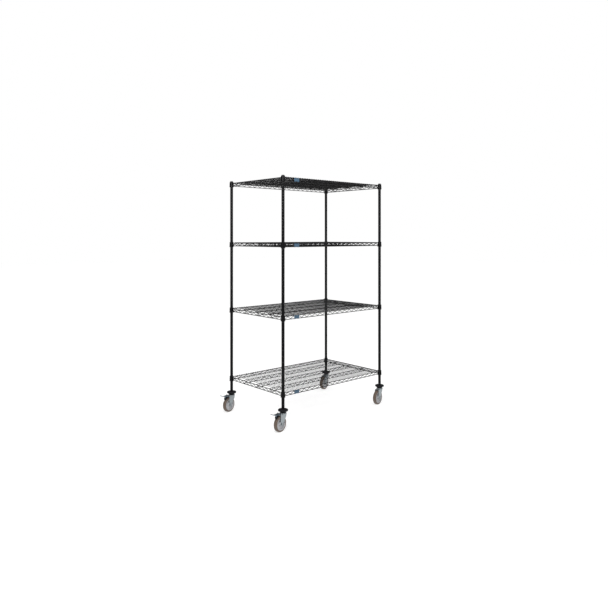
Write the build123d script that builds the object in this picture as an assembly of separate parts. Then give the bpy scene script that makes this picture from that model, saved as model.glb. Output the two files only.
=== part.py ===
from build123d import *
import math
import os

# Wire shelf cart: four grooved posts on stem casters carry four welded wire shelves.
# Millimetres, +Z up. The origin is on the floor, midway between the four posts.
# +X runs along the long side of the shelves and -Y is the front, the side with the nameplates.

# ---------------------------------------------------------------- driving dimensions
# Overall
shelf_length = 1200.0
shelf_width = 760.0
post_length = 1880.0

# Posts
post_diameter = 25.4
post_wall = 1.2
groove_pitch = 25.4
groove_depth = 0.4
groove_width = 1.6

# Shelf heights, counted in post grooves from the bottom of the posts
shelf_grooves = {
    "bottom_shelf": 5,
    "lower_middle_shelf": 29,
    "upper_middle_shelf": 52,
    "top_shelf": 73,
}

# Collars and split sleeves
collar_height = 44.0
collar_wall = 2.2
sleeve_top_wall = 2.2
sleeve_bottom_wall = 4.0
sleeve_slot = 1.0
sleeve_short_of_collar = 2.0
sleeve_below_collar = 1.0
ridge_above_collar_centre = -2.0
ridge_width = 1.4
ridge_clearance = 0.05

# Shelf wires
rim_wire_diameter = 6.0
rim_wire_spacing = 25.0
snake_wire_diameter = 4.2
snake_pitch = 58.0
snake_bend_radius = 6.0
deck_wire_diameter = 3.6
deck_wire_pitch = 25.4
rib_wire_diameter = 4.6
rib_count = 3
rib_end_inset = 16.0
weld_bite = 0.05

# Nameplates
nameplate_length = 52.0
nameplate_corner_radius = 3.0
nameplate_height = 27.0
nameplate_thickness = 1.6
nameplate_from_post = 142.0
clip_width = 8.0
clip_from_end = 9.0
clip_above_wire = 2.8
clip_below_wire = 4.2

# Post caps
cap_rim_height = 3.5
cap_height = 7.0
cap_flat_radius = 9.5
cap_plug_length = 15.0

# Casters
wheel_diameter = 127.0
tread_width = 32.0
tread_thickness = 13.0
tread_corner = 5.0
trail = 38.0
hub_boss_length = 35.0
hub_boss_radius = 17.0
hub_rim_width = 29.0
hub_rim_thickness = 6.5
hub_web_thickness = 9.0
hub_boss_draft = 2.0
hub_rim_draft = 1.5
tread_lip = 1.5
corner_bulge = 0.3
axle_diameter = 10.0
bolt_head_height = 6.0
bolt_head_across_flats = 17.0
running_fit = 0.05
side_play = 0.5

fork_thickness = 2.6
wheel_head_room = 6.0
fork_back = 17.0
fork_front = 51.0
fork_foot_radius = 14.0
fork_front_drop = 4.0
fork_foot_dip = 1.0
fork_waist_drop = 17.0
crown_radius = 29.0
crown_rim_height = 5.0
crown_rim_thickness = 1.8

ball_diameter = 6.0
ball_circle_radius = 18.0
ball_count = 16
ball_play = 0.3
race_gap = 4.0
race_thickness = 6.0
race_radius = 26.7
race_edge_round = 1.0
race_shoulder_drop = 2.0
race_shoulder = 4.0

stem_diameter = 12.7
stem_above_post_end = 40.0
insert_length = 45.0
rivet_radius = 11.0
rivet_height = 3.2
rivet_gap = 0.4
nut_across_flats = 24.0
nut_height = 4.0

bumper_radius = 41.0
bumper_neck_radius = 25.0
bumper_web = 8.0
bumper_height = 24.0
bumper_edge_low = 11.0
bumper_edge_high = 19.0
bumper_edge_round = 4.0
bumper_neck_height = 3.0
bumper_dish = 2.0

# Brakes on the two left-hand casters
brake_pin_diameter = 6.0
brake_pin_reach = 44.0
brake_pin_height_above_crown = 6.5
brake_ear_radius = 8.0
pedal_thickness = 2.6
pedal_half_width = 14.5
pedal_points = [(-6.0, 2.0), (16.0, 4.5), (50.0, 3.0), (78.0, 9.0), (96.0, 20.0)]
pedal_bend_radius = 30.0
cheek_radius = 5.5
cheek_drop = 5.0
pad_near = 21.0
pad_far = 43.0
pad_side_gap = 0.5
pad_gap = 6.2
pad_thickness = 12.0
carrier_half_width = 5.0
pin_head_radius = 5.0
pin_head_height = 2.0

# Directions in which the casters trail, in degrees from +X
trail_heading = {
    "front_left": 191.0,
    "rear_left": 194.0,
    "front_right": 192.0,
    "rear_right": 195.0,
}
braked = ("front_left", "rear_left")

# ---------------------------------------------------------------- sizes that follow
corners = {
    "front_left": (-1, -1),
    "front_right": (1, -1),
    "rear_left": (-1, 1),
    "rear_right": (1, 1),
}
post_radius = post_diameter / 2
post_bore = post_radius - post_wall
collar_top_bore = post_radius + sleeve_top_wall
collar_bottom_bore = post_radius + sleeve_bottom_wall
collar_reach = collar_bottom_bore + collar_wall
half_x = shelf_length / 2 - collar_reach
half_y = shelf_width / 2 - collar_reach

wheel_radius = wheel_diameter / 2
hub_radius = wheel_radius - tread_thickness
stem_radius = stem_diameter / 2
crown_bottom = wheel_diameter + wheel_head_room
crown_top = crown_bottom + fork_thickness
race_bottom = crown_top + race_gap
race_top = race_bottom + race_thickness
nut_top = race_top + nut_height
ball_height = (crown_top + race_bottom) / 2
post_bottom = nut_top + bumper_web
post_top = post_bottom + post_length
leg_inside = hub_boss_length / 2 + side_play
leg_outside = leg_inside + fork_thickness
pin_height = crown_top + brake_pin_height_above_crown

rim_radius = rim_wire_diameter / 2
snake_radius = snake_wire_diameter / 2
deck_radius = deck_wire_diameter / 2
rib_radius = rib_wire_diameter / 2
upper_wire = rim_wire_spacing / 2
lower_wire = -rim_wire_spacing / 2
deck_level = upper_wire + rim_radius + deck_radius - weld_bite
rib_upper = deck_level - deck_radius - rib_radius + weld_bite
rib_lower = lower_wire


def collar_bore(height):
    """Inner radius of the tapered collar at a height above its centre."""
    share = (height + collar_height / 2) / collar_height
    return collar_bottom_bore + share * (collar_top_bore - collar_bottom_bore)


def turned(points):
    """A solid of revolution about Z from (radius, height) points."""
    return revolve(Plane.XZ * make_face(Polyline(*points, close=True)), Axis.Z)


def wire(start, end, radius):
    """A straight round wire between two points."""
    line = Line(start, end)
    return sweep(Plane(origin=line @ 0, z_dir=line % 0) * Circle(radius), path=line)


def snake(start_x, end_x, y, low, high):
    """A zigzag wire in the XZ plane whose bends touch the levels low and high."""
    waves = round((end_x - start_x) / snake_pitch)
    step = (end_x - start_x) / (2 * waves)
    bottom = low + snake_radius
    rise = high - low - 2 * snake_radius
    # A rounded corner falls short of its point, so the inner corners stand out by that much.
    overshoot = 0.0
    for _ in range(20):
        slope = math.atan((rise + 2 * overshoot) / step)
        overshoot = snake_bend_radius * (1 / math.cos(slope) - 1)
    corner = [(start_x, y, bottom)]
    for turn in range(1, 2 * waves):
        level = bottom + rise + overshoot if turn % 2 else bottom - overshoot
        corner.append((start_x + turn * step, y, level))
    corner.append((end_x, y, bottom))
    path = FilletPolyline(*corner, radius=snake_bend_radius)
    return sweep(Plane(origin=path @ 0, z_dir=path % 0) * Circle(snake_radius), path=path)


def write(name, solids):
    """One node: a group of its separate solids."""
    pieces = [piece for shape in solids for piece in shape.solids()]
    node = pieces[0] if len(pieces) == 1 else Compound(children=pieces)
    export_step(node, f"parts/{name}.step")


def at_corners(shape):
    """The same piece at each of the four posts."""
    return [Pos(sx * half_x, sy * half_y, 0) * shape for sx, sy in corners.values()]


os.makedirs("parts", exist_ok=True)

# ---------------------------------------------------------------- posts, caps, inserts
# A thin steel tube with a shallow groove rolled in at every pitch.
outline = [(post_bore, post_bottom), (post_radius, post_bottom)]
for groove in range(1, int(post_length / groove_pitch)):
    level = post_bottom + groove * groove_pitch
    outline += [
        (post_radius, level - groove_width / 2),
        (post_radius - groove_depth, level - groove_width / 2),
        (post_radius - groove_depth, level + groove_width / 2),
        (post_radius, level + groove_width / 2),
    ]
outline += [(post_radius, post_top), (post_bore, post_top)]
post = turned(outline)
for corner, (sx, sy) in corners.items():
    write(f"{corner}_post", [Pos(sx * half_x, sy * half_y, 0) * post])

# Plastic cap pressed into the top of each post.
post_cap = turned([
    (0, post_top - cap_plug_length),
    (post_bore, post_top - cap_plug_length),
    (post_bore, post_top),
    (post_radius, post_top),
    (post_radius, post_top + cap_rim_height),
    (cap_flat_radius, post_top + cap_height),
    (0, post_top + cap_height),
])
write("post_caps", at_corners(post_cap))

# Threaded plug in the foot of each post, which holds the caster's stem.
post_insert = turned([
    (stem_radius, post_bottom),
    (post_bore, post_bottom),
    (post_bore, post_bottom + insert_length),
    (stem_radius, post_bottom + insert_length),
])
write("post_inserts", at_corners(post_insert))

# Soft round bumper clamped between the post and the caster.
bumper = turned([
    (stem_radius, nut_top),
    (bumper_neck_radius, nut_top),
    (bumper_neck_radius, nut_top + bumper_neck_height),
    (bumper_radius - bumper_edge_round, nut_top + bumper_edge_low - bumper_edge_round),
    (bumper_radius, nut_top + bumper_edge_low),
    (bumper_radius, nut_top + bumper_edge_high),
    (bumper_radius - bumper_edge_round, nut_top + bumper_height - bumper_dish),
    (post_radius + bumper_edge_round, nut_top + bumper_height),
    (post_radius, nut_top + bumper_height),
    (post_radius, post_bottom),
    (stem_radius, post_bottom),
])
for corner, (sx, sy) in corners.items():
    write(f"{corner}_bumper", [Pos(sx * half_x, sy * half_y, 0) * bumper])

# ---------------------------------------------------------------- one shelf, centred on its collars
# Corner collar: a tapered steel ring that wedges down over the sleeves.
collar = turned([
    (collar_bottom_bore, -collar_height / 2),
    (collar_bottom_bore + collar_wall, -collar_height / 2),
    (collar_top_bore + collar_wall, collar_height / 2),
    (collar_top_bore, collar_height / 2),
])
collar_core = turned([
    (0, -collar_height / 2),
    (collar_bottom_bore + collar_wall, -collar_height / 2),
    (collar_top_bore + collar_wall, collar_height / 2),
    (0, collar_height / 2),
])
collars = at_corners(collar)
collar_cores = at_corners(collar_core)

# Split sleeve: two tapered plastic halves whose inner ridge sits in one post groove.
sleeve_foot = -collar_height / 2 - sleeve_below_collar
sleeve_head = collar_height / 2 - sleeve_short_of_collar
ridge_low = ridge_above_collar_centre - ridge_width / 2
ridge_high = ridge_above_collar_centre + ridge_width / 2
ridge_radius = post_radius - groove_depth + ridge_clearance
sleeve = turned([
    (post_radius, sleeve_foot),
    (collar_bore(sleeve_foot), sleeve_foot),
    (collar_bore(sleeve_head), sleeve_head),
    (post_radius, sleeve_head),
    (post_radius, ridge_high),
    (ridge_radius, ridge_high),
    (ridge_radius, ridge_low),
    (post_radius, ridge_low),
])
sleeve -= Box(2 * collar_reach, sleeve_slot, 3 * collar_height)
sleeves = at_corners(sleeve)

# Rim: an upper and a lower wire on each side, with a zigzag wire between them.
rim = []
for side in (-1, 1):
    for level in (upper_wire, lower_wire):
        rim.append(wire((-half_x, side * half_y, level), (half_x, side * half_y, level), rim_radius))
        rim.append(wire((side * half_x, -half_y, level), (side * half_x, half_y, level), rim_radius))
rim = [piece - collar_cores for piece in rim]
snake_low = lower_wire + rim_radius - weld_bite
snake_high = upper_wire - rim_radius + weld_bite
snake_inset = collar_reach + snake_radius
long_snake = snake(-half_x + snake_inset, half_x - snake_inset, 0, snake_low, snake_high)
short_snake = Rot(0, 0, 90) * snake(-half_y + snake_inset, half_y - snake_inset, 0, snake_low, snake_high)
for side in (-1, 1):
    rim.append(Pos(0, side * half_y, 0) * long_snake)
    rim.append(Pos(side * half_x, 0, 0) * short_snake)

# Deck: ribs along the shelf, and straight wires across them from front rim to rear rim.
deck = []
side_wires = [
    wire((side * half_x, -half_y, level), (side * half_x, half_y, level), rim_radius)
    for side in (-1, 1)
    for level in (upper_wire, lower_wire)
]
rib_snake = snake(
    -half_x + rib_end_inset, half_x - rib_end_inset, 0,
    rib_lower + rib_radius - weld_bite, rib_upper - rib_radius + weld_bite,
)
for rib in range(1, rib_count + 1):
    y = -half_y + rib * 2 * half_y / (rib_count + 1)
    for level in (rib_upper, rib_lower):
        deck.append(wire((-half_x, y, level), (half_x, y, level), rib_radius) - side_wires)
    deck.append(Pos(0, y, 0) * rib_snake)
deck_room = 2 * (half_x - collar_reach)
deck_wire_count = int(deck_room / deck_wire_pitch)
deck_wire_reach = half_y + rim_radius
for turn in range(deck_wire_count):
    x = (turn - (deck_wire_count - 1) / 2) * deck_wire_pitch
    deck.append(wire((x, -deck_wire_reach, deck_level), (x, deck_wire_reach, deck_level), deck_radius))

# Nameplate: a flat plastic tab clipped over both front rim wires near the left post.
plate_back = -half_y - rim_radius
plate = Box(nameplate_length, nameplate_thickness, nameplate_height)
plate = fillet(plate.edges().filter_by(Axis.Y), nameplate_corner_radius)
nameplate = Pos(0, plate_back - nameplate_thickness / 2, 0) * plate
for side in (-1, 1):
    for level in (upper_wire, lower_wire):
        clip = Box(clip_width, rim_radius, clip_above_wire + clip_below_wire)
        x = side * (nameplate_length / 2 - clip_from_end)
        clip_middle = level + (clip_above_wire - clip_below_wire) / 2
        nameplate += Pos(x, plate_back + rim_radius / 2, clip_middle) * clip
for level in (upper_wire, lower_wire):
    nameplate -= wire((-nameplate_length, -half_y, level), (nameplate_length, -half_y, level), rim_radius)
nameplate = Pos(-half_x + nameplate_from_post, 0, 0) * nameplate

nameplates = []
for shelf, groove in shelf_grooves.items():
    level = post_bottom + groove * groove_pitch - ridge_above_collar_centre
    lift = Pos(0, 0, level)
    write(f"{shelf}_collars", [lift * piece for piece in collars])
    write(f"{shelf}_sleeves", [lift * piece for piece in sleeves])
    write(f"{shelf}_rim", [lift * piece for piece in rim])
    write(f"{shelf}_deck", [lift * piece for piece in deck])
    nameplates.append(lift * nameplate)
write("shelf_nameplates", nameplates)

# ---------------------------------------------------------------- one caster, trailing towards +X
# Stem: riveted over below the fork, with a hexagon that clamps the race, and a stud for the post.
stem_foot = crown_bottom - rivet_gap - rivet_height
stem = Pos(0, 0, stem_foot) * Cylinder(
    rivet_radius, rivet_height, align=(Align.CENTER, Align.CENTER, Align.MIN)
)
stem += Pos(0, 0, stem_foot) * Cylinder(
    stem_radius, post_bottom + stem_above_post_end - stem_foot, align=(Align.CENTER, Align.CENTER, Align.MIN)
)
stem += Pos(0, 0, race_top) * extrude(
    RegularPolygon(nut_across_flats / 2, 6, major_radius=False), nut_height
)

# Upper race: a fixed steel ring with a groove for the balls.
race = turned([
    (stem_radius, race_bottom),
    (race_radius - race_edge_round, race_bottom),
    (race_radius, race_bottom + race_edge_round),
    (race_radius, race_top - race_shoulder_drop),
    (race_radius - race_shoulder, race_top),
    (stem_radius, race_top),
])
race -= Pos(0, 0, ball_height) * Torus(ball_circle_radius, ball_diameter / 2 + running_fit)
balls = [
    Rot(0, 0, turn * 360 / ball_count) * Pos(ball_circle_radius, 0, ball_height) * Sphere(ball_diameter / 2)
    for turn in range(ball_count)
]

# Hub: a moulded core with a rim, a thin web and a long boss on the axle.
axle_radius = axle_diameter / 2
hub_bore = axle_radius + running_fit
hub = turned([
    (hub_bore, -hub_boss_length / 2),
    (hub_boss_radius - hub_boss_draft, -hub_boss_length / 2),
    (hub_boss_radius, -hub_web_thickness / 2),
    (hub_radius - hub_rim_thickness, -hub_web_thickness / 2),
    (hub_radius - hub_rim_thickness + hub_rim_draft, -hub_rim_width / 2),
    (hub_radius, -hub_rim_width / 2),
    (hub_radius, hub_rim_width / 2),
    (hub_radius - hub_rim_thickness + hub_rim_draft, hub_rim_width / 2),
    (hub_radius - hub_rim_thickness, hub_web_thickness / 2),
    (hub_boss_radius, hub_web_thickness / 2),
    (hub_boss_radius - hub_boss_draft, hub_boss_length / 2),
    (hub_bore, hub_boss_length / 2),
])
tread = turned([
    (hub_radius, -hub_rim_width / 2),
    (hub_radius + tread_lip, -tread_width / 2),
    (wheel_radius - tread_corner, -tread_width / 2),
    (wheel_radius - tread_corner * corner_bulge, -tread_width / 2 + tread_corner * corner_bulge),
    (wheel_radius, -tread_width / 2 + tread_corner),
    (wheel_radius, tread_width / 2 - tread_corner),
    (wheel_radius - tread_corner * corner_bulge, tread_width / 2 - tread_corner * corner_bulge),
    (wheel_radius - tread_corner, tread_width / 2),
    (hub_radius + tread_lip, tread_width / 2),
    (hub_radius, hub_rim_width / 2),
])
on_axle = Pos(trail, 0, wheel_radius) * Rot(90, 0, 0)
hub = on_axle * hub
tread = on_axle * tread

# Axle: a bolt with its head on one fork leg and its nut on the other.
hexagon = RegularPolygon(bolt_head_across_flats / 2, 6, major_radius=False)
axle = Cylinder(axle_radius, 2 * (leg_outside + bolt_head_height))
axle += Pos(0, 0, leg_outside) * extrude(hexagon, bolt_head_height)
axle += Pos(0, 0, -leg_outside - bolt_head_height) * extrude(hexagon, bolt_head_height)
axle = on_axle * axle


def fork(with_brake):
    """Pressed steel fork: a round crown under the race, and two legs down to the axle."""
    waist = crown_bottom - fork_waist_drop
    side = make_face(Polyline(
        (-fork_back, crown_top),
        (fork_front, crown_top),
        (fork_front, crown_bottom - fork_front_drop),
        (trail + fork_foot_radius, wheel_radius + fork_front_drop),
        (trail - fork_foot_radius, wheel_radius - fork_foot_dip),
        (-fork_back, waist),
        close=True,
    ))
    side += Pos(trail, wheel_radius) * Circle(fork_foot_radius)
    if with_brake:
        side += Pos(brake_pin_reach, pin_height) * Circle(brake_ear_radius)
        side += Pos(brake_pin_reach, (crown_bottom + pin_height) / 2) * Rectangle(
            2 * brake_ear_radius, pin_height - crown_bottom
        )
    side -= Pos(trail, wheel_radius) * Circle(axle_radius)
    if with_brake:
        side -= Pos(brake_pin_reach, pin_height) * Circle(brake_pin_diameter / 2)
    leg = extrude(Plane.XZ * side, -fork_thickness)
    crown = Pos((fork_front - fork_back) / 2, 0, crown_bottom) * Box(
        fork_front + fork_back, 2 * leg_outside, fork_thickness, align=(Align.CENTER, Align.CENTER, Align.MIN)
    )
    cup = turned([
        (0, crown_bottom),
        (crown_radius, crown_bottom),
        (crown_radius, crown_top + crown_rim_height),
        (crown_radius - crown_rim_thickness, crown_top + crown_rim_height),
        (crown_radius - crown_rim_thickness, crown_top),
        (0, crown_top),
    ])
    body = crown + cup + Pos(0, leg_inside, 0) * leg + Pos(0, -leg_outside, 0) * leg
    body -= Cylinder(race_radius + side_play, 2 * crown_rim_height, align=(
        Align.CENTER, Align.CENTER, Align.MIN
    )).moved(Pos(0, 0, crown_top))
    body -= Pos(0, 0, crown_bottom) * Cylinder(stem_radius + running_fit, 4 * fork_thickness)
    body -= Pos(0, 0, ball_height) * Torus(ball_circle_radius, ball_diameter / 2 + ball_play)
    return body


# Brake: a pedal on a pin through the fork's ears, with a rubber pad above the tread.
brake_pin = Rot(90, 0, 0) * (
    Cylinder(brake_pin_diameter / 2, 2 * leg_outside)
    + Pos(0, 0, leg_outside + pin_head_height / 2) * Cylinder(pin_head_radius, pin_head_height)
    + Pos(0, 0, -leg_outside - pin_head_height / 2) * Cylinder(pin_head_radius, pin_head_height)
)
brake_pin = Pos(brake_pin_reach, 0, pin_height) * brake_pin


def underside(reach):
    """Height of the pedal plate's underside above the pin, on the straight stretch over the pad."""
    (x0, z0), (x1, z1) = pedal_points[1:3]
    slope = (z1 - z0) / (x1 - x0)
    return z0 + slope * (reach - x0) - pedal_thickness / 2 * math.hypot(1, slope)


pedal_line = FilletPolyline(*pedal_points, radius=pedal_bend_radius)
pedal = extrude(Plane.XZ * trace(pedal_line, pedal_thickness), pedal_half_width, both=True)
cheek_face = make_face(Polyline(
    (0, cheek_radius),
    (pad_near, underside(pad_near) + pedal_thickness / 2),
    (pad_far, underside(pad_far) + pedal_thickness / 2),
    (pad_near, underside(pad_near) - cheek_drop),
    (0, -cheek_radius),
    close=True,
))
cheek_face += Circle(cheek_radius)
cheek = extrude(Plane.XZ * cheek_face, -pedal_thickness)
pedal += Pos(0, pedal_half_width - pedal_thickness, 0) * cheek
pedal += Pos(0, -pedal_half_width, 0) * cheek
pedal -= Rot(90, 0, 0) * Cylinder(brake_pin_diameter / 2 + running_fit, 4 * pedal_half_width)
pedal = Pos(brake_pin_reach, 0, pin_height) * pedal

# Rubber pad: a curved block that follows the tread at a small gap, on a steel web under the pedal.
below_pedal = make_face(Polyline(
    (brake_pin_reach + pad_near, pin_height + underside(pad_near)),
    (brake_pin_reach + pad_far, pin_height + underside(pad_far)),
    (brake_pin_reach + pad_far, wheel_radius),
    (brake_pin_reach + pad_near, wheel_radius),
    close=True,
))
pad_foot = Pos(trail, wheel_radius) * Circle(wheel_radius + pad_gap)
pad_back = Pos(trail, wheel_radius) * Circle(wheel_radius + pad_gap + pad_thickness)
pedal += extrude(Plane.XZ * (below_pedal - pad_back), carrier_half_width, both=True)
pad_face = (below_pedal & pad_back) - pad_foot
pad = extrude(Plane.XZ * pad_face, pedal_half_width - pedal_thickness - pad_side_gap, both=True)

all_balls = []
for corner, (sx, sy) in corners.items():
    place = Pos(sx * half_x, sy * half_y, 0) * Rot(0, 0, trail_heading[corner])
    write(f"{corner}_caster_stem", [place * stem])
    write(f"{corner}_caster_race", [place * race])
    write(f"{corner}_caster_fork", [place * fork(corner in braked)])
    write(f"{corner}_wheel_hub", [place * hub])
    write(f"{corner}_wheel_tread", [place * tread])
    write(f"{corner}_wheel_axle", [place * axle])
    all_balls += [place * ball for ball in balls]
    if corner in braked:
        write(f"{corner}_brake_pin", [place * brake_pin])
        write(f"{corner}_brake_pedal", [place * pedal])
        write(f"{corner}_brake_pad", [place * pad])
write("caster_balls", all_balls)
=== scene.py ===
import bmesh
import bpy
import math
from mathutils import Matrix, Vector


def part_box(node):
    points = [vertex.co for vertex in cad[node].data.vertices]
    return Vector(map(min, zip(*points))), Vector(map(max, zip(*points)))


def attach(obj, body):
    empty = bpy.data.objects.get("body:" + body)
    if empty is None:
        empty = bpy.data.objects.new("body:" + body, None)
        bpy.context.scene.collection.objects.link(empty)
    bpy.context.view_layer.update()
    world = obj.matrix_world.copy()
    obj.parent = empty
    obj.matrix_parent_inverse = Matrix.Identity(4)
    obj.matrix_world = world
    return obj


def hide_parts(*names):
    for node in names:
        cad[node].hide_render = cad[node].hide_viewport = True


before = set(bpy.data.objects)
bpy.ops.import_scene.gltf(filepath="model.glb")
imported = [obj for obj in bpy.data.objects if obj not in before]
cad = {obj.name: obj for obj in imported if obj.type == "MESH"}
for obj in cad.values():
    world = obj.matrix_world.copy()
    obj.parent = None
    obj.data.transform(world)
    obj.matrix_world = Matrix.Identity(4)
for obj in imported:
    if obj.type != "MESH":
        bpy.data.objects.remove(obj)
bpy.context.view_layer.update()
corners = ("front_left", "front_right", "rear_left", "rear_right")
shelves = ("bottom_shelf", "lower_middle_shelf", "upper_middle_shelf", "top_shelf")


# ---------------------------------------------------------------- posts
# Thin steel tubes, 25.4 mm across, with a shallow groove rolled in every 25.4 mm.
# They are powder coated black after forming, so the groove edges are slightly rounded.

def linear(colour):
    """A scene-linear colour from an sRGB hex value such as "#0b0b0c"."""
    channels = [int(colour[i:i + 2], 16) / 255 for i in (1, 3, 5)]
    return tuple(c / 12.92 if c <= 0.04045 else ((c + 0.055) / 1.055) ** 2.4 for c in channels) + (1.0,)


def add(tree, kind, settings=None, links=None, **options):
    """Adds a node, sets its options and inputs, and links its inputs from other sockets."""
    made = tree.nodes.new(kind)
    for name, value in options.items():
        setattr(made, name, value)
    for name, value in (settings or {}).items():
        made.inputs[name].default_value = value
    for name, socket in (links or {}).items():
        tree.links.new(socket, made.inputs[name])
    return made


def surface(name):
    """A new material: its node tree, its shader and the object's own coordinates in metres."""
    made = bpy.data.materials.new(name)
    made.use_nodes = True
    tree = made.node_tree
    tree.nodes.clear()
    shader = add(tree, "ShaderNodeBsdfPrincipled")
    add(tree, "ShaderNodeOutputMaterial", links={"Surface": shader.outputs["BSDF"]})
    where = add(tree, "ShaderNodeTexCoord").outputs["Object"]
    return made, tree, shader, where


def per_mm(size):
    """Texture scale, per metre, of a pattern whose features are this many millimetres."""
    return 1000.0 / size


# Satin powder coat over steel: near-black, with a soft broad highlight broken by a fine
# orange peel. The real peel is about 0.4 mm; it is drawn at 2.5 mm so that it shows.
powder_coat, tree, shader, where = surface("black_powder_coat")
peel = add(tree, "ShaderNodeTexNoise", {"Scale": per_mm(2.5), "Detail": 2.0}, {"Vector": where})
cloud = add(tree, "ShaderNodeTexNoise", {"Scale": per_mm(70), "Detail": 4.0}, {"Vector": where})
tone = add(tree, "ShaderNodeMix", {6: linear("#010102"), 7: linear("#040406")},
           {"Factor": cloud.outputs["Fac"]}, data_type="RGBA")
gloss = add(tree, "ShaderNodeMapRange", {"From Min": 0.3, "From Max": 0.7, "To Min": 0.3, "To Max": 0.42},
            {"Value": cloud.outputs["Fac"]})
scuff = add(tree, "ShaderNodeTexNoise", {"Scale": per_mm(9), "Detail": 6.0, "Roughness": 0.7}, {"Vector": where})
rubbed = add(tree, "ShaderNodeMapRange", {"From Min": 0.66, "From Max": 0.76, "To Min": 0.0, "To Max": 0.5},
             {"Value": scuff.outputs["Fac"]})
coat = add(tree, "ShaderNodeMix", {7: linear("#18181c")},
           {"Factor": rubbed.outputs["Result"], 6: tone.outputs[2]}, data_type="RGBA")
bump = add(tree, "ShaderNodeBump", {"Strength": 0.25, "Distance": 0.0002}, {"Height": peel.outputs["Fac"]})
tree.links.new(coat.outputs[2], shader.inputs["Base Color"])
tree.links.new(gloss.outputs["Result"], shader.inputs["Roughness"])
tree.links.new(bump.outputs["Normal"], shader.inputs["Normal"])
shader.inputs["IOR"].default_value = 1.5
shader.inputs["Specular IOR Level"].default_value = 0.12


def lathe(shape, outline, segments, turn=Matrix.Identity(4), closed=True, start=0.0, sweep=2 * math.pi):
    """Adds a turned surface about Z from (radius, height) points; closed joins the last point to the first."""
    verts, faces = shape
    full = sweep > 6.28
    columns = segments if full else segments + 1
    first = len(verts)
    count = len(outline)
    for column in range(columns):
        angle = start + sweep * column / segments
        for radius, height in outline:
            verts.append(turn @ Vector((radius * math.cos(angle), radius * math.sin(angle), height)))
    for column in range(segments):
        here = first + column * count
        there = first + (column + 1) % columns * count
        for i in range(count if closed else count - 1):
            j = (i + 1) % count
            faces.append((here + i, there + i, there + j, here + j))
    if closed and not full:
        faces.append(tuple(first + i for i in reversed(range(count))))
        faces.append(tuple(first + segments * count + i for i in range(count)))
    return shape


def piece(name, shape, body, material, nodes=(), at=Matrix.Identity(4), crease=32.0, bevel=0.0):
    """Makes a smooth-shaded piece from vertices and faces, and fixes it to its CAD body."""
    if isinstance(shape, bpy.types.Mesh):
        mesh = shape
    else:
        mesh = bpy.data.meshes.new(name)
        mesh.from_pydata([tuple(v) for v in shape[0]], [], shape[1])
        edit = bmesh.new()
        edit.from_mesh(mesh)
        bmesh.ops.remove_doubles(edit, verts=edit.verts, dist=1e-6)
        bmesh.ops.dissolve_degenerate(edit, edges=edit.edges, dist=1e-7)
        bmesh.ops.recalc_face_normals(edit, faces=edit.faces)
        if bevel:
            sharp = [e for e in edit.edges if len(e.link_faces) == 2 and e.calc_face_angle(0.0) > 0.6]
            bmesh.ops.bevel(edit, geom=sharp, offset=bevel, segments=3, profile=0.5, affect="EDGES",
                            clamp_overlap=True)
        for edge in edit.edges:
            edge.smooth = len(edge.link_faces) == 2 and edge.calc_face_angle(0.0) < math.radians(crease)
        for face in edit.faces:
            face.smooth = True
        edit.to_mesh(mesh)
        edit.free()
        mesh.materials.append(material)
    made = bpy.data.objects.new(name, mesh)
    bpy.context.scene.collection.objects.link(made)
    made.matrix_world = at
    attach(made, body)
    if nodes:
        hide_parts(*nodes)
    return made


post_box = {corner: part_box(f"{corner}_post") for corner in corners}
post_at = {corner: Vector(((low.x + high.x) / 2, (low.y + high.y) / 2, 0)) for corner, (low, high) in post_box.items()}
post_low = post_box["front_left"][0].z
post_high = post_box["front_left"][1].z
post_radius = (post_box["front_left"][1].x - post_box["front_left"][0].x) / 2
post_wall = 0.0012
groove_pitch = 0.0254
groove_depth = 0.0004
groove_half = 0.0008
groove_round = 0.0003
half_x = post_at["front_right"].x
half_y = post_at["rear_left"].y

outline = [(post_radius - post_wall, post_low), (post_radius - 0.0003, post_low), (post_radius, post_low + 0.0003)]
for groove in range(1, int((post_high - post_low) / groove_pitch + 0.01)):
    level = post_low + groove * groove_pitch
    outline += [
        (post_radius, level - groove_half - groove_round),
        (post_radius - groove_depth * 0.8, level - groove_half + groove_round),
        (post_radius - groove_depth, level),
        (post_radius - groove_depth * 0.8, level + groove_half - groove_round),
        (post_radius, level + groove_half + groove_round),
    ]
outline += [(post_radius, post_high - 0.0003), (post_radius - 0.0003, post_high), (post_radius - post_wall, post_high)]
post_mesh = None
for corner in corners:
    post = piece(f"{corner}_post_tube", post_mesh or lathe(([], []), outline, 40), "frame", powder_coat,
                 [f"{corner}_post"], Matrix.Translation(post_at[corner]))
    post_mesh = post.data


# ---------------------------------------------------------------- post caps and foot plugs
# Black polyethylene caps pressed into the post tops, with a low domed crown.
# The plugs in the feet hold the caster stems and are out of sight inside the tubes.
black_plastic, tree, shader, where = surface("black_moulded_plastic")
grain = add(tree, "ShaderNodeTexNoise", {"Scale": per_mm(1.2), "Detail": 3.0}, {"Vector": where})
cloud = add(tree, "ShaderNodeTexNoise", {"Scale": per_mm(25), "Detail": 3.0}, {"Vector": where})
tone = add(tree, "ShaderNodeMix", {6: linear("#040405"), 7: linear("#0c0c0e")},
           {"Factor": cloud.outputs["Fac"]}, data_type="RGBA")
gloss = add(tree, "ShaderNodeMapRange", {"To Min": 0.38, "To Max": 0.55}, {"Value": cloud.outputs["Fac"]})
bump = add(tree, "ShaderNodeBump", {"Strength": 0.2, "Distance": 0.0001}, {"Height": grain.outputs["Fac"]})
tree.links.new(tone.outputs[2], shader.inputs["Base Color"])
tree.links.new(gloss.outputs["Result"], shader.inputs["Roughness"])
tree.links.new(bump.outputs["Normal"], shader.inputs["Normal"])
shader.inputs["IOR"].default_value = 1.49

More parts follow.
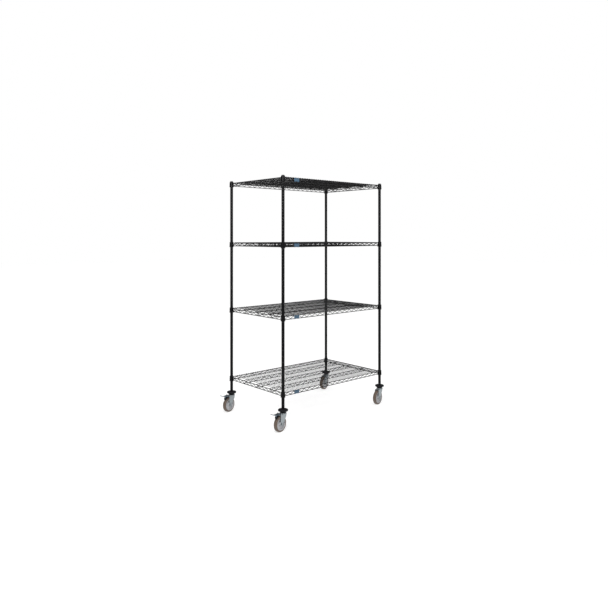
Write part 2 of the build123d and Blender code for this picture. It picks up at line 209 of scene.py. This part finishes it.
cap_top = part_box("post_caps")[1].z
cap_rim = 0.0035
cap_flat = 0.0095
cap_round = [
    (cap_flat + (post_radius - cap_flat) * math.sin(math.radians(a)),
     post_high + cap_rim + (cap_top - post_high - cap_rim) * math.cos(math.radians(a)))
    for a in range(0, 91, 15)
]
cap_edge = 0.0004
plug_depth = 0.015
outline = [(0.0, cap_top)] + cap_round + [
    (post_radius, post_high + cap_edge), (post_radius - cap_edge, post_high),
    (post_radius - post_wall, post_high), (post_radius - post_wall, post_high - plug_depth),
    (0.0, post_high - plug_depth),
]
caps = ([], [])
for corner in corners:
    lathe(caps, outline, 40, Matrix.Translation(post_at[corner]), closed=False)
piece("post_top_caps", caps, "frame", black_plastic, ["post_caps"])


def finish_node(node, material):
    """Gives a CAD node, whose shape is kept, its material."""
    cad[node].data.materials.clear()
    cad[node].data.materials.append(material)


finish_node("post_inserts", black_plastic)


# ---------------------------------------------------------------- shelf collars
# Tapered steel rings at the four corners of each shelf, with rolled lips.
# The rim wires are resistance welded to them, which leaves a small bead at each wire end.
collar_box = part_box("bottom_shelf_collars")
collar_half = (collar_box[1].z - collar_box[0].z) / 2
collar_reach = collar_box[1].x - half_x
collar_wall = 0.0022
collar_taper = 0.0018
shelf_level = {shelf: (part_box(f"{shelf}_collars")[0].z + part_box(f"{shelf}_collars")[1].z) / 2 for shelf in shelves}
wire_spacing = 0.025
upper_wire = wire_spacing / 2
lower_wire = -wire_spacing / 2
rim_radius = 0.003
bead_radius = 0.0042


def ball(shape, centre, radii, rings=8, segments=12):
    """Adds a small ellipsoid, such as a weld bead."""
    outline = [(math.sin(math.pi * i / rings), -math.cos(math.pi * i / rings)) for i in range(rings + 1)]
    turn = Matrix.Translation(centre) @ Matrix.Diagonal((*radii, 1.0))
    return lathe(shape, outline, segments, turn, closed=False)


foot = collar_reach
head = collar_reach - collar_taper
lip = 0.0006
outline = [
    (foot - collar_wall + lip, -collar_half), (foot - lip, -collar_half), (foot, -collar_half + lip),
    (foot - 0.00005, -collar_half + 0.003), (head + 0.00005, collar_half - 0.003),
    (head, collar_half - lip), (head - lip, collar_half), (head - collar_wall + lip, collar_half),
    (head - collar_wall, collar_half - lip), (foot - collar_wall, -collar_half + lip),
]
collars = ([], [])
for corner in corners:
    x, y = post_at[corner].xy
    lathe(collars, outline, 56, Matrix.Translation((x, y, 0)))
    for level in (upper_wire, lower_wire):
        surface_radius = foot - collar_taper * (level + collar_half) / (2 * collar_half)
        ball(collars, (x - math.copysign(surface_radius, x), y, level), (0.0018, bead_radius, bead_radius))
        ball(collars, (x, y - math.copysign(surface_radius, y), level), (bead_radius, 0.0018, bead_radius))
collar_mesh = None
for shelf in shelves:
    made = piece(f"{shelf}_corner_collars", collar_mesh or collars, "frame", powder_coat,
                 [f"{shelf}_collars"], Matrix.Translation((0, 0, shelf_level[shelf])))
    collar_mesh = made.data


# ---------------------------------------------------------------- split sleeves
# Two tapered plastic half-shells snapped round the post under each collar.
# A ridge inside sits in a post groove, and the collar wedges down over them.
sleeve_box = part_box("bottom_shelf_sleeves")
sleeve_low = sleeve_box[0].z - shelf_level["bottom_shelf"]
sleeve_high = sleeve_box[1].z - shelf_level["bottom_shelf"]
sleeve_foot = foot - collar_wall
sleeve_head = head - collar_wall + collar_taper * 0.045
slot_angle = 0.0005 / sleeve_foot
outline = [
    (post_radius, sleeve_low), (sleeve_foot - 0.0005, sleeve_low), (sleeve_foot, sleeve_low + 0.0005),
    (sleeve_head, sleeve_high - 0.0005), (sleeve_head - 0.0005, sleeve_high), (post_radius, sleeve_high),
]
sleeves = ([], [])
for corner in corners:
    for half in (0, 1):
        lathe(sleeves, outline, 24, Matrix.Translation(post_at[corner]),
              start=math.pi * half + slot_angle, sweep=math.pi - 2 * slot_angle)
sleeve_mesh = None
for shelf in shelves:
    made = piece(f"{shelf}_split_sleeves", sleeve_mesh or sleeves, "frame", black_plastic,
                 [f"{shelf}_sleeves"], Matrix.Translation((0, 0, shelf_level[shelf])))
    sleeve_mesh = made.data


# ---------------------------------------------------------------- shelf rims
# Upper and lower steel wires on all four sides, 6 mm across, with a 4.2 mm zigzag wire
# welded between them. The whole shelf is powder coated as one after welding.
snake_radius = 0.0021
snake_pitch = 0.058
snake_bend = 0.006
weld_bite = 0.00005


def tube(shape, points, radius, sides=12, end_round=0.35):
    """Adds a round wire along points in order, with slightly rounded cut ends."""
    verts, faces = shape
    points = [Vector(p) for p in points]
    first_way = (points[1] - points[0]).normalized()
    last_way = (points[-1] - points[-2]).normalized()
    soft = radius * end_round
    rings = [(points[0], radius - soft), (points[0] + first_way * soft, radius)]
    rings += [(p, radius) for p in points[1:-1]]
    rings += [(points[-1] - last_way * soft, radius), (points[-1], radius - soft)]
    centres = [centre for centre, _ in rings]
    ways = [first_way]
    for i in range(1, len(rings) - 1):
        ways.append((centres[i + 1] - centres[i - 1]).normalized())
    ways.append(last_way)
    side = Vector((0, 1, 0)) if abs(first_way.y) < 0.9 else Vector((0, 0, 1))
    if abs(first_way.x) < 0.2 and abs(first_way.y) > 0.2:
        side = Vector((1, 0, 0))
    first = len(verts)
    for (centre, size), way in zip(rings, ways):
        across = (side - way * side.dot(way)).normalized()
        up = way.cross(across)
        for k in range(sides):
            angle = 2 * math.pi * k / sides
            verts.append(centre + across * (size * math.cos(angle)) + up * (size * math.sin(angle)))
    for i in range(len(rings) - 1):
        for k in range(sides):
            a = first + i * sides + k
            b = first + i * sides + (k + 1) % sides
            faces.append((a, b, b + sides, a + sides))
    faces.append(tuple(first + k for k in reversed(range(sides))))
    faces.append(tuple(first + (len(rings) - 1) * sides + k for k in range(sides)))
    return shape


def zigzag(start, end, low, high, radius):
    """Points along a zigzag wire from start to end, whose round bends touch the levels low and high."""
    waves = round((end - start) / snake_pitch)
    step = (end - start) / (2 * waves)
    bottom = low + radius
    rise = high - low - 2 * radius
    overshoot = 0.0
    for _ in range(20):
        slope = math.atan((rise + 2 * overshoot) / step)
        overshoot = snake_bend * (1 / math.cos(slope) - 1)
    points = [(start, bottom)]
    for turn in range(1, 2 * waves):
        up = 1 if turn % 2 else -1
        centre = (start + turn * step, (bottom + rise if turn % 2 else bottom) - up * snake_bend)
        for part in range(-3, 4):
            angle = slope * part / 3
            points.append((centre[0] + snake_bend * math.sin(angle), centre[1] + up * snake_bend * math.cos(angle)))
    points.append((end, bottom))
    return points


def head_on(height):
    """Radius of the collar's outside at a height above its centre."""
    return foot - collar_taper * (height + collar_half) / (2 * collar_half)


rim = ([], [])
snake_low = lower_wire + rim_radius - weld_bite
snake_high = upper_wire - rim_radius + weld_bite
snake_inset = collar_reach + snake_radius
long_snake = zigzag(-half_x + snake_inset, half_x - snake_inset, snake_low, snake_high, snake_radius)
short_snake = zigzag(-half_y + snake_inset, half_y - snake_inset, snake_low, snake_high, snake_radius)
for side in (-1, 1):
    for level in (upper_wire, lower_wire):
        gap = head_on(level) - 0.0005
        tube(rim, [(-half_x + gap, side * half_y, level), (half_x - gap, side * half_y, level)], rim_radius, 16)
        tube(rim, [(side * half_x, -half_y + gap, level), (side * half_x, half_y - gap, level)], rim_radius, 16)
    tube(rim, [(x, side * half_y, z) for x, z in long_snake], snake_radius)
    tube(rim, [(side * half_x, y, z) for y, z in short_snake], snake_radius)
rim_mesh = None
for shelf in shelves:
    made = piece(f"{shelf}_rim_wires", rim_mesh or rim, "frame", powder_coat,
                 [f"{shelf}_rim"], Matrix.Translation((0, 0, shelf_level[shelf])), crease=40)
    rim_mesh = made.data


# ---------------------------------------------------------------- shelf decks
# Straight 3.6 mm wires, 25.4 mm apart, laid from front rim to back rim over three trussed
# ribs of 4.6 mm wire. Each crossing is a projection weld with a little squeezed-out metal.
deck_radius = 0.0018
deck_pitch = 0.0254
rib_radius = 0.0023
rib_count = 3
rib_inset = 0.016
deck_level = upper_wire + rim_radius + deck_radius - weld_bite
rib_upper = deck_level - deck_radius - rib_radius + weld_bite
rib_reach = half_x - rim_radius
rib_snake = zigzag(-half_x + rib_inset, half_x - rib_inset, lower_wire + rib_radius - weld_bite,
                   rib_upper - rib_radius + weld_bite, snake_radius)
rib_lines = [-half_y + rib * 2 * half_y / (rib_count + 1) for rib in range(1, rib_count + 1)]
deck = ([], [])
for y in rib_lines:
    for level in (rib_upper, lower_wire):
        tube(deck, [(-rib_reach, y, level), (rib_reach, y, level)], rib_radius, 14)
    tube(deck, [(x, y, z) for x, z in rib_snake], snake_radius)
deck_count = int(2 * (half_x - collar_reach) / deck_pitch)
deck_reach = half_y + rim_radius
weld_level = deck_level - deck_radius
for turn in range(deck_count):
    x = (turn - (deck_count - 1) / 2) * deck_pitch
    tube(deck, [(x, -deck_reach, deck_level), (x, deck_reach, deck_level)], deck_radius, 14)
    for y in [-half_y] + rib_lines + [half_y]:
        ball(deck, (x, y, weld_level - 0.0001), (0.0023, 0.0019, 0.0009), 4, 8)
deck_mesh = None
for shelf in shelves:
    made = piece(f"{shelf}_deck_wires", deck_mesh or deck, "frame", powder_coat,
                 [f"{shelf}_deck"], Matrix.Translation((0, 0, shelf_level[shelf])), crease=40)
    deck_mesh = made.data


# ---------------------------------------------------------------- nameplates
# A small blank plate of slate-blue plastic clipped over the front rim wires of each shelf.
# It is moulded in one piece with its clips.
slate_plastic, tree, shader, where = surface("slate_blue_moulded_plastic")
# Fine spark-eroded grain, about 0.8 mm, with a slow drift in tone where the plastic flowed.
grain = add(tree, "ShaderNodeTexNoise", {"Scale": per_mm(0.8), "Detail": 3.0}, {"Vector": where})
flow = add(tree, "ShaderNodeTexNoise", {"Scale": per_mm(18), "Detail": 3.0}, {"Vector": where})
tone = add(tree, "ShaderNodeMix", {6: linear("#2c4558"), 7: linear("#38546a")},
           {"Factor": flow.outputs["Fac"]}, data_type="RGBA")
gloss = add(tree, "ShaderNodeMapRange", {"To Min": 0.34, "To Max": 0.5}, {"Value": flow.outputs["Fac"]})
bump = add(tree, "ShaderNodeBump", {"Strength": 0.2, "Distance": 0.0001}, {"Height": grain.outputs["Fac"]})
tree.links.new(tone.outputs[2], shader.inputs["Base Color"])
tree.links.new(gloss.outputs["Result"], shader.inputs["Roughness"])
tree.links.new(bump.outputs["Normal"], shader.inputs["Normal"])
shader.inputs["IOR"].default_value = 1.49
finish_node("shelf_nameplates", slate_plastic)


# ---------------------------------------------------------------- bumpers
# Soft black rubber discs clamped between each post and its caster. They are moulded with
# rounded edges and a cone underneath that narrows to the caster.
black_rubber, tree, shader, where = surface("black_moulded_rubber")
# Matt rubber: a fine 1 mm texture, and a faint grey bloom in patches about 15 mm across.
grain = add(tree, "ShaderNodeTexNoise", {"Scale": per_mm(1.0), "Detail": 4.0}, {"Vector": where})
bloom = add(tree, "ShaderNodeTexNoise", {"Scale": per_mm(15), "Detail": 5.0, "Roughness": 0.65}, {"Vector": where})
tone = add(tree, "ShaderNodeMix", {6: linear("#020205"), 7: linear("#090910")},
           {"Factor": bloom.outputs["Fac"]}, data_type="RGBA")
matt = add(tree, "ShaderNodeMapRange", {"To Min": 0.52, "To Max": 0.74}, {"Value": bloom.outputs["Fac"]})
bump = add(tree, "ShaderNodeBump", {"Strength": 0.35, "Distance": 0.0002}, {"Height": grain.outputs["Fac"]})
tree.links.new(tone.outputs[2], shader.inputs["Base Color"])
tree.links.new(matt.outputs["Result"], shader.inputs["Roughness"])
tree.links.new(bump.outputs["Normal"], shader.inputs["Normal"])
shader.inputs["IOR"].default_value = 1.52
shader.inputs["Specular IOR Level"].default_value = 0.2


def soften(outline, size, steps=4):
    """The closed outline with every corner rounded by up to this size."""
    soft = []
    for i, corner_point in enumerate(outline):
        here = Vector(corner_point)
        before = Vector(outline[i - 1]) - here
        after = Vector(outline[(i + 1) % len(outline)]) - here
        cut = min(size, before.length * 0.4, after.length * 0.4)
        a = here + before.normalized() * cut
        b = here + after.normalized() * cut
        for step in range(steps + 1):
            t = step / steps
            soft.append(tuple(a * (1 - t) ** 2 + here * (2 * t * (1 - t)) + b * t ** 2))
    return soft


stem_radius = 0.00635
bumper_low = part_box("front_left_bumper")[0].z
bumper_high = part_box("front_left_bumper")[1].z
bumper_reach = (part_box("front_left_bumper")[1].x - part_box("front_left_bumper")[0].x) / 2
neck_radius = 0.025
neck_height = 0.003
edge_low = 0.011
edge_depth = 0.005
edge_round = 0.004
top_dish = 0.002
bumper_web = 0.008
outline = soften([
    (stem_radius, bumper_low), (neck_radius, bumper_low), (neck_radius, bumper_low + neck_height),
    (bumper_reach - edge_round, bumper_low + edge_low - edge_round), (bumper_reach, bumper_low + edge_low),
    (bumper_reach, bumper_high - edge_depth), (bumper_reach - edge_round, bumper_high - top_dish),
    (post_radius + edge_round, bumper_high), (post_radius, bumper_high), (post_radius, bumper_low + bumper_web),
    (stem_radius, bumper_low + bumper_web),
], 0.0016)
bumper_mesh = None
for corner in corners:
    made = piece(f"{corner}_rubber_bumper", bumper_mesh or lathe(([], []), outline, 72), "frame", black_rubber,
                 [f"{corner}_bumper"], Matrix.Translation(post_at[corner]))
    bumper_mesh = made.data


# ---------------------------------------------------------------- caster stems and races
# The stem is a steel stud, riveted over under the fork, with a hexagon that clamps the upper
# race. The race is pressed from sheet. Both are bright zinc plated.
zinc_plate, tree, shader, where = surface("bright_zinc_plated_steel")
# Pale grey-green plating: a soft blotchy shine, 12 mm across, and drawing lines about 1 mm apart.
blotch = add(tree, "ShaderNodeTexNoise", {"Scale": per_mm(12), "Detail": 4.0, "Roughness": 0.6}, {"Vector": where})
stretch = add(tree, "ShaderNodeMapping", {"Scale": (1.0, 1.0, 0.08)}, {"Vector": where})
lines = add(tree, "ShaderNodeTexNoise", {"Scale": per_mm(1.0), "Detail": 2.0}, {"Vector": stretch.outputs["Vector"]})
tone = add(tree, "ShaderNodeMix", {6: linear("#838a8c"), 7: linear("#a3a9ac")},
           {"Factor": blotch.outputs["Fac"]}, data_type="RGBA")
shine = add(tree, "ShaderNodeMapRange", {"To Min": 0.24, "To Max": 0.46}, {"Value": blotch.outputs["Fac"]})
bump = add(tree, "ShaderNodeBump", {"Strength": 0.12, "Distance": 0.0001}, {"Height": lines.outputs["Fac"]})
tree.links.new(tone.outputs[2], shader.inputs["Base Color"])
tree.links.new(shine.outputs["Result"], shader.inputs["Roughness"])
tree.links.new(bump.outputs["Normal"], shader.inputs["Normal"])
shader.inputs["Metallic"].default_value = 1.0

trail_heading = {"front_left": 191.0, "rear_left": 194.0, "front_right": 192.0, "rear_right": 195.0}
trail = 0.038
caster_at = {corner: Matrix.Translation(post_at[corner]) @ Matrix.Rotation(math.radians(trail_heading[corner]), 4, "Z")
             for corner in corners}
stem_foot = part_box("front_left_caster_stem")[0].z
stem_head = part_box("front_left_caster_stem")[1].z
race_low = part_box("front_left_caster_race")[0].z
race_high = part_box("front_left_caster_race")[1].z
race_reach = 0.0267
rivet_radius = 0.011
rivet_height = 0.0032
nut_height = 0.004
nut_corner = 0.024 / math.sqrt(3)
stem = lathe(([], []), [
    (0.0, stem_foot), (rivet_radius - 0.001, stem_foot), (rivet_radius, stem_foot + 0.001),
    (rivet_radius, stem_foot + rivet_height), (stem_radius, stem_foot + rivet_height),
    (stem_radius, stem_head - 0.001), (stem_radius - 0.001, stem_head), (0.0, stem_head),
], 40, closed=False)
lathe(stem, [
    (stem_radius, race_high), (nut_corner, race_high), (nut_corner, race_high + nut_height - 0.0006),
    (nut_corner - 0.0012, race_high + nut_height), (stem_radius, race_high + nut_height),
], 6)
race = lathe(([], []), soften([
    (stem_radius, race_low), (race_reach - 0.001, race_low), (race_reach, race_low + 0.001),
    (race_reach, race_high - 0.002), (race_reach - 0.004, race_high), (stem_radius, race_high),
], 0.0008), 64)
stem_mesh = race_mesh = None
for corner in corners:
    made = piece(f"{corner}_riveted_stem", stem_mesh or stem, "frame", zinc_plate,
                 [f"{corner}_caster_stem"], caster_at[corner])
    stem_mesh = made.data
    made = piece(f"{corner}_upper_race", race_mesh or race, "frame", zinc_plate,
                 [f"{corner}_caster_race"], caster_at[corner])
    race_mesh = made.data


# ---------------------------------------------------------------- bearing balls
# Hardened and polished steel balls, 6 mm across, in a ring between each race and fork.
bearing_steel, tree, shader, where = surface("polished_bearing_steel")
# A mirror shine dulled by a thin film of grease in patches about 3 mm across.
film = add(tree, "ShaderNodeTexNoise", {"Scale": per_mm(3), "Detail": 3.0}, {"Vector": where})
tone = add(tree, "ShaderNodeMix", {6: linear("#b9bcc0"), 7: linear("#d2d4d6")},
           {"Factor": film.outputs["Fac"]}, data_type="RGBA")
shine = add(tree, "ShaderNodeMapRange", {"To Min": 0.08, "To Max": 0.24}, {"Value": film.outputs["Fac"]})
tree.links.new(tone.outputs[2], shader.inputs["Base Color"])
tree.links.new(shine.outputs["Result"], shader.inputs["Roughness"])
shader.inputs["Metallic"].default_value = 1.0
finish_node("caster_balls", bearing_steel)


# ---------------------------------------------------------------- forks
# Each fork is blanked and folded from 2.6 mm steel sheet, a round cup and two legs, and zinc
# plated. The cup turns on the balls under the race.
for corner in corners:
    finish_node(f"{corner}_caster_fork", zinc_plate)


# ---------------------------------------------------------------- wheels
# A light grey hub moulded in nylon, with a rim, a thin web and a long boss, and a taupe
# polyurethane tread bonded round it.
grey_plastic, tree, shader, where = surface("light_grey_moulded_nylon")
# Satin nylon: 1 mm grain, and a slightly darker tone where road dust settles in low patches.
grain = add(tree, "ShaderNodeTexNoise", {"Scale": per_mm(1.0), "Detail": 3.0}, {"Vector": where})
dust = add(tree, "ShaderNodeTexNoise", {"Scale": per_mm(22), "Detail": 5.0, "Roughness": 0.6}, {"Vector": where})
tone = add(tree, "ShaderNodeMix", {6: linear("#98989b"), 7: linear("#b2b2b5")},
           {"Factor": dust.outputs["Fac"]}, data_type="RGBA")
gloss = add(tree, "ShaderNodeMapRange", {"To Min": 0.36, "To Max": 0.54}, {"Value": dust.outputs["Fac"]})
bump = add(tree, "ShaderNodeBump", {"Strength": 0.15, "Distance": 0.0001}, {"Height": grain.outputs["Fac"]})
tree.links.new(tone.outputs[2], shader.inputs["Base Color"])
tree.links.new(gloss.outputs["Result"], shader.inputs["Roughness"])
tree.links.new(bump.outputs["Normal"], shader.inputs["Normal"])
shader.inputs["IOR"].default_value = 1.53

taupe_tread, tree, shader, where = surface("taupe_cast_polyurethane")
# Cast polyurethane: warm taupe, a soft sheen, and a scuffed mottle about 6 mm across.
mottle = add(tree, "ShaderNodeTexNoise", {"Scale": per_mm(6), "Detail": 6.0, "Roughness": 0.7}, {"Vector": where})
tone = add(tree, "ShaderNodeMix", {6: linear("#4a3a2f"), 7: linear("#62554b")},
           {"Factor": mottle.outputs["Fac"]}, data_type="RGBA")
gloss = add(tree, "ShaderNodeMapRange", {"To Min": 0.36, "To Max": 0.6}, {"Value": mottle.outputs["Fac"]})
bump = add(tree, "ShaderNodeBump", {"Strength": 0.2, "Distance": 0.0002}, {"Height": mottle.outputs["Fac"]})
tree.links.new(tone.outputs[2], shader.inputs["Base Color"])
tree.links.new(gloss.outputs["Result"], shader.inputs["Roughness"])
tree.links.new(bump.outputs["Normal"], shader.inputs["Normal"])
shader.inputs["IOR"].default_value = 1.5

wheel_radius = 0.0635
tread_thickness = 0.013
tread_half = 0.016
tread_corner = 0.005
hub_radius = wheel_radius - tread_thickness
hub_half = 0.0145
hub_inner = hub_radius - 0.0065
boss_half = 0.0175
boss_radius = 0.017
web_half = 0.0045
axle_radius = 0.005
hub_bore = axle_radius + 0.0003
hub = lathe(([], []), soften([
    (hub_bore, -boss_half), (boss_radius - 0.002, -boss_half), (boss_radius, -web_half),
    (hub_inner, -web_half), (hub_inner + 0.0015, -hub_half), (hub_radius, -hub_half),
    (hub_radius, hub_half), (hub_inner + 0.0015, hub_half), (hub_inner, web_half),
    (boss_radius, web_half), (boss_radius - 0.002, boss_half), (hub_bore, boss_half),
], 0.0008), 72)
tread = lathe(([], []), soften([
    (hub_radius, -hub_half), (hub_radius + 0.0015, -tread_half), (wheel_radius - tread_corner, -tread_half),
    (wheel_radius, -tread_half + tread_corner), (wheel_radius, tread_half - tread_corner),
    (wheel_radius - tread_corner, tread_half), (hub_radius + 0.0015, tread_half), (hub_radius, hub_half),
], 0.0022), 96)
on_axle = Matrix.Translation((trail, 0, wheel_radius)) @ Matrix.Rotation(math.radians(90), 4, "X")
hub_mesh = tread_mesh = None
for corner in corners:
    made = piece(f"{corner}_moulded_hub", hub_mesh or hub, f"{corner}_wheel", grey_plastic,
                 [f"{corner}_wheel_hub"], caster_at[corner] @ on_axle)
    hub_mesh = made.data
    made = piece(f"{corner}_cast_tread", tread_mesh or tread, f"{corner}_wheel", taupe_tread,
                 [f"{corner}_wheel_tread"], caster_at[corner] @ on_axle)
    tread_mesh = made.data


# ---------------------------------------------------------------- axle bolts
# A plated steel bolt through both fork legs, with a hexagon head on one and a nut on the other.
leg_outside = 0.0206
head_height = 0.006
head_corner = 0.017 / math.sqrt(3)
bolt = lathe(([], []), [(0.0, -leg_outside - head_height), (axle_radius, -leg_outside - head_height),
                        (axle_radius, leg_outside + head_height), (0.0, leg_outside + head_height)], 32, closed=False)
for end in (-1, 1):
    lathe(bolt, [(axle_radius, end * leg_outside), (head_corner, end * leg_outside),
                 (head_corner, end * (leg_outside + head_height - 0.0008)),
                 (head_corner - 0.0014, end * (leg_outside + head_height)),
                 (axle_radius, end * (leg_outside + head_height))], 6)
bolt_mesh = None
for corner in corners:
    made = piece(f"{corner}_axle_bolt", bolt_mesh or bolt, f"{corner}_caster", zinc_plate,
                 [f"{corner}_wheel_axle"], caster_at[corner] @ on_axle)
    bolt_mesh = made.data


# ---------------------------------------------------------------- brakes
# A folded, plated pedal turns on a pin through the fork's ears, and carries a black rubber
# pad that comes down towards the tread. Only the two left-hand casters have one.
blue_zinc, tree, shader, where = surface("blue_passivated_zinc_plated_steel")
# Thicker, bluer plating than the fork's: a duller shine, darkened in patches 8 mm across by shoes.
wear = add(tree, "ShaderNodeTexNoise", {"Scale": per_mm(8), "Detail": 5.0, "Roughness": 0.65}, {"Vector": where})
tone = add(tree, "ShaderNodeMix", {6: linear("#4f5962"), 7: linear("#7b8890")},
           {"Factor": wear.outputs["Fac"]}, data_type="RGBA")
shine = add(tree, "ShaderNodeMapRange", {"To Min": 0.3, "To Max": 0.52}, {"Value": wear.outputs["Fac"]})
bump = add(tree, "ShaderNodeBump", {"Strength": 0.15, "Distance": 0.0001}, {"Height": wear.outputs["Fac"]})
tree.links.new(tone.outputs[2], shader.inputs["Base Color"])
tree.links.new(shine.outputs["Result"], shader.inputs["Roughness"])
tree.links.new(bump.outputs["Normal"], shader.inputs["Normal"])
shader.inputs["Metallic"].default_value = 1.0

for corner in ("front_left", "rear_left"):
    finish_node(f"{corner}_brake_pin", zinc_plate)
    finish_node(f"{corner}_brake_pedal", blue_zinc)
    finish_node(f"{corner}_brake_pad", black_rubber)


# ---------------------------------------------------------------- floor, light and camera
# A plain white floor lit softly from below as well, as on a studio light table, under broad
# soft light that is even all over, so the thin wires keep their weight against it.
floor_white, tree, shader, where = surface("white_studio_floor")
speck = add(tree, "ShaderNodeTexNoise", {"Scale": per_mm(400), "Detail": 2.0}, {"Vector": where})
tone = add(tree, "ShaderNodeMix", {6: linear("#b4b4b4"), 7: linear("#b8b8b8")},
           {"Factor": speck.outputs["Fac"]}, data_type="RGBA")
tree.links.new(tone.outputs[2], shader.inputs["Base Color"])
shader.inputs["Roughness"].default_value = 0.9
shader.inputs["Specular IOR Level"].default_value = 0.1
shader.inputs["Emission Color"].default_value = (1, 1, 1, 1)
shader.inputs["Emission Strength"].default_value = 0.6
floor_mesh = bpy.data.meshes.new("studio_floor")
reach = 30.0
floor_corners = [(-reach, -reach, 0), (reach, -reach, 0), (reach, reach, 0), (-reach, reach, 0)]
floor_mesh.from_pydata(floor_corners, [], [(0, 1, 2, 3)])
floor_mesh.materials.append(floor_white)
floor = bpy.data.objects.new("studio_floor", floor_mesh)
floor.location.z = -0.0002
bpy.context.scene.collection.objects.link(floor)

world = bpy.data.worlds.new("white_studio")
world.use_nodes = True
bpy.context.scene.world = world
tree = world.node_tree
tree.nodes.clear()
seen = add(tree, "ShaderNodeLightPath")
bright = add(tree, "ShaderNodeBackground", {"Color": (1, 1, 1, 1), "Strength": 1.0})
dim = add(tree, "ShaderNodeBackground", {"Color": (1, 1, 1, 1), "Strength": 0.3})
both = add(tree, "ShaderNodeMixShader",
           links={0: seen.outputs["Is Camera Ray"], 1: dim.outputs[0], 2: bright.outputs[0]})
add(tree, "ShaderNodeOutputWorld", links={"Surface": both.outputs[0]})


def softbox(name, place, aim, size, power):
    """A large rectangular area light that points at a spot."""
    light = bpy.data.lights.new(name, "AREA")
    light.shape = "RECTANGLE"
    light.size, light.size_y = size
    light.energy = power
    lamp = bpy.data.objects.new(name, light)
    lamp.location = place
    lamp.rotation_euler = (Vector(aim) - Vector(place)).to_track_quat("-Z", "Y").to_euler()
    bpy.context.scene.collection.objects.link(lamp)


softbox("key_light", (-1.9, -1.5, 2.6), (-0.5, -0.35, 1.75), (0.8, 0.8), 60)
softbox("side_light", (4.0, -2.5, 2.8), (0, 0, 1.0), (1.2, 2.4), 35)

sky = bpy.data.lights.new("overhead_light", "SUN")
sky.energy = 1.9
sky.angle = math.radians(90)
overhead = bpy.data.objects.new("overhead_light", sky)
overhead.rotation_euler = (math.radians(12), math.radians(-10), 0)
bpy.context.scene.collection.objects.link(overhead)

camera_data = bpy.data.cameras.new("camera")
camera_data.sensor_width = 36.0
camera_data.lens = 34.64
camera_data.shift_y = -0.1104
camera = bpy.data.objects.new("camera", camera_data)
camera.location = (-3.5535, -3.979, 1.5485)
camera.rotation_euler = (math.radians(90), 0, math.radians(-41.46))
bpy.context.scene.collection.objects.link(camera)
bpy.context.scene.camera = camera
bpy.context.scene.view_settings.view_transform = "Standard"
